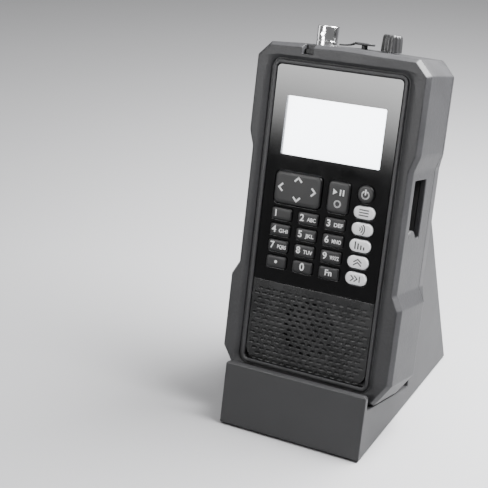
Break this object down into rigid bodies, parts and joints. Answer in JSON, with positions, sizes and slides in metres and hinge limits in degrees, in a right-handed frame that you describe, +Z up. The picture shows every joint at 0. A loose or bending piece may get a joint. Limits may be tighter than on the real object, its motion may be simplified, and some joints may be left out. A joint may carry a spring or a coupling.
{
  "type": "police scanner",
  "caption": "Handheld radio scanner with display, rubber-domed keypad, speaker grille, volume knob, antenna socket and belt clip, leaning in a wedge desk stand.",
  "frame": {"origin": "centre of the bounding box's bottom face, on the table under the stand", "axes": "+Z up, -Y out of the front of the radio and stand, +X to the radio's right as seen from the front"},
  "size_m": [0.0742, 0.0928, 0.151],
  "materials": {
    "stand_plastic": "lightly textured black moulding",
    "foot_rubber": "soft black rubber",
    "case_rubber": "soft-touch charcoal moulding",
    "steel": "plain steel",
    "gloss_panel": "piano black gloss",
    "clear_lens": "clear polished lens",
    "lcd_white": "evenly lit white display",
    "grille_plastic": "fine satin black",
    "mat_rubber": "silicone rubber",
    "circuit_board": "green solder mask",
    "bay_plastic": "plain black moulding",
    "cell_skin": "plain printed sleeve",
    "clip_plastic": "satin black moulding",
    "chrome_socket": "bright nickel plating",
    "insulator": "off-white insulator",
    "knob_plastic": "satin black",
    "cover_rubber": "soft black rubber",
    "smoked_lens": "smoked polished lens",
    "key_black": "satin black keys with white legends",
    "key_grey": "light grey satin keys"
  },
  "bodies": {
    "stand": {"desk_stand": "stand_plastic", "stand_base_plate": "stand_plastic", "stand_foot_front": "foot_rubber", "stand_foot_rear": "foot_rubber"},
    "radio": {"front_case": "case_rubber", "rear_case": "case_rubber", "case_screw_left": "steel", "case_screw_right": "steel", "face_panel": "gloss_panel", "display_window": "clear_lens", "lcd_module": "lcd_white", "speaker_grille": "grille_plastic", "keypad_mat": "mat_rubber", "main_board": "circuit_board", "shield_can": "steel", "speaker": "steel", "port_bay": "bay_plastic", "usb_port": "steel", "battery_tray": "bay_plastic", "battery_cell_1": "cell_skin", "battery_cell_2": "cell_skin", "battery_cell_3": "cell_skin", "contact_strip_lower": "steel", "contact_strip_upper": "steel", "belt_clip_mount": "clip_plastic", "belt_clip_pin": "steel", "clip_screw_left": "steel", "clip_screw_right": "steel", "antenna_jack": "chrome_socket", "antenna_insulator": "insulator", "volume_pot": "steel", "earphone_jack": "bay_plastic", "jack_cover_strap": "cover_rubber", "alert_led_lens": "smoked_lens"},
    "key_1": {"key_1": "key_black"},
    "key_2": {"key_2": "key_black"},
    "key_3": {"key_3": "key_black"},
    "key_4": {"key_4": "key_black"},
    "key_5": {"key_5": "key_black"},
    "key_6": {"key_6": "key_black"},
    "key_7": {"key_7": "key_black"},
    "key_8": {"key_8": "key_black"},
    "key_9": {"key_9": "key_black"},
    "key_dot": {"key_dot": "key_black"},
    "key_0": {"key_0": "key_black"},
    "key_fn": {"key_fn": "key_black"},
    "select_key": {"select_key": "key_black"},
    "power_key": {"power_key": "key_black"},
    "menu_key": {"menu_key": "key_grey"},
    "scan_key": {"scan_key": "key_grey"},
    "attenuator_key": {"attenuator_key": "key_grey"},
    "priority_key": {"priority_key": "key_grey"},
    "skip_key": {"skip_key": "key_grey"},
    "dpad_gimbal": {"dpad_gimbal": "mat_rubber"},
    "dpad": {"dpad": "key_black"},
    "volume_knob": {"volume_knob": "knob_plastic"},
    "jack_cover": {"jack_cover": "cover_rubber"},
    "battery_door": {"battery_door": "case_rubber"},
    "belt_clip": {"belt_clip": "clip_plastic"}
  },
  "joints": [
    {"name": "radio_lift", "type": "slide", "parent": "stand", "child": "radio", "axis": [0, 0.2756, 0.9613], "range_m": [0, 0.08]},
    {"name": "key_1_press", "type": "slide", "parent": "radio", "child": "key_1", "axis": [0, 0.9613, -0.2756], "range_m": [0, 0.0008], "stiffness_N_per_m": 300},
    {"name": "key_2_press", "type": "slide", "parent": "radio", "child": "key_2", "axis": [0, 0.9613, -0.2756], "range_m": [0, 0.0008], "stiffness_N_per_m": 300},
    {"name": "key_3_press", "type": "slide", "parent": "radio", "child": "key_3", "axis": [0, 0.9613, -0.2756], "range_m": [0, 0.0008], "stiffness_N_per_m": 300},
    {"name": "key_4_press", "type": "slide", "parent": "radio", "child": "key_4", "axis": [0, 0.9613, -0.2756], "range_m": [0, 0.0008], "stiffness_N_per_m": 300},
    {"name": "key_5_press", "type": "slide", "parent": "radio", "child": "key_5", "axis": [0, 0.9613, -0.2756], "range_m": [0, 0.0008], "stiffness_N_per_m": 300},
    {"name": "key_6_press", "type": "slide", "parent": "radio", "child": "key_6", "axis": [0, 0.9613, -0.2756], "range_m": [0, 0.0008], "stiffness_N_per_m": 300},
    {"name": "key_7_press", "type": "slide", "parent": "radio", "child": "key_7", "axis": [0, 0.9613, -0.2756], "range_m": [0, 0.0008], "stiffness_N_per_m": 300},
    {"name": "key_8_press", "type": "slide", "parent": "radio", "child": "key_8", "axis": [0, 0.9613, -0.2756], "range_m": [0, 0.0008], "stiffness_N_per_m": 300},
    {"name": "key_9_press", "type": "slide", "parent": "radio", "child": "key_9", "axis": [0, 0.9613, -0.2756], "range_m": [0, 0.0008], "stiffness_N_per_m": 300},
    {"name": "key_dot_press", "type": "slide", "parent": "radio", "child": "key_dot", "axis": [0, 0.9613, -0.2756], "range_m": [0, 0.0008], "stiffness_N_per_m": 300},
    {"name": "key_0_press", "type": "slide", "parent": "radio", "child": "key_0", "axis": [0, 0.9613, -0.2756], "range_m": [0, 0.0008], "stiffness_N_per_m": 300},
    {"name": "key_fn_press", "type": "slide", "parent": "radio", "child": "key_fn", "axis": [0, 0.9613, -0.2756], "range_m": [0, 0.0008], "stiffness_N_per_m": 300},
    {"name": "select_key_press", "type": "slide", "parent": "radio", "child": "select_key", "axis": [0, 0.9613, -0.2756], "range_m": [0, 0.0008], "stiffness_N_per_m": 300},
    {"name": "power_key_press", "type": "slide", "parent": "radio", "child": "power_key", "axis": [0, 0.9613, -0.2756], "range_m": [0, 0.0008], "stiffness_N_per_m": 300},
    {"name": "menu_key_press", "type": "slide", "parent": "radio", "child": "menu_key", "axis": [0, 0.9613, -0.2756], "range_m": [0, 0.0008], "stiffness_N_per_m": 300},
    {"name": "scan_key_press", "type": "slide", "parent": "radio", "child": "scan_key", "axis": [0, 0.9613, -0.2756], "range_m": [0, 0.0008], "stiffness_N_per_m": 300},
    {"name": "attenuator_key_press", "type": "slide", "parent": "radio", "child": "attenuator_key", "axis": [0, 0.9613, -0.2756], "range_m": [0, 0.0008], "stiffness_N_per_m": 300},
    {"name": "priority_key_press", "type": "slide", "parent": "radio", "child": "priority_key", "axis": [0, 0.9613, -0.2756], "range_m": [0, 0.0008], "stiffness_N_per_m": 300},
    {"name": "skip_key_press", "type": "slide", "parent": "radio", "child": "skip_key", "axis": [0, 0.9613, -0.2756], "range_m": [0, 0.0008], "stiffness_N_per_m": 300},
    {"name": "dpad_rock_left_right", "type": "hinge", "parent": "radio", "child": "dpad_gimbal", "pos_m": [-0.0114, -0.00887, 0.09201], "axis": [0, 0.2756, 0.9613], "range_deg": [-3, 3], "stiffness_Nm_per_rad": 0.05},
    {"name": "dpad_rock_up_down", "type": "hinge", "parent": "dpad_gimbal", "child": "dpad", "pos_m": [-0.0114, -0.00887, 0.09201], "axis": [1, 0, 0], "range_deg": [-3, 3], "stiffness_Nm_per_rad": 0.05},
    {"name": "volume_turn", "type": "hinge", "parent": "radio", "child": "volume_knob", "pos_m": [0.0138, 0.0175, 0.14624], "axis": [0, 0.2756, 0.9613], "range_deg": [-140, 140]},
    {"name": "jack_cover_pull", "type": "slide", "parent": "radio", "child": "jack_cover", "axis": [0, 0.2756, 0.9613], "range_m": [0, 0.012]},
    {"name": "battery_door_slide", "type": "slide", "parent": "radio", "child": "battery_door", "axis": [0, -0.2756, -0.9613], "range_m": [0, 0.0075]},
    {"name": "belt_clip_open", "type": "hinge", "parent": "radio", "child": "belt_clip", "pos_m": [0, 0.03924, 0.12337], "axis": [1, 0, 0], "range_deg": [0, 14], "stiffness_Nm_per_rad": 0.6, "springref_deg": -5.73}
  ]
}
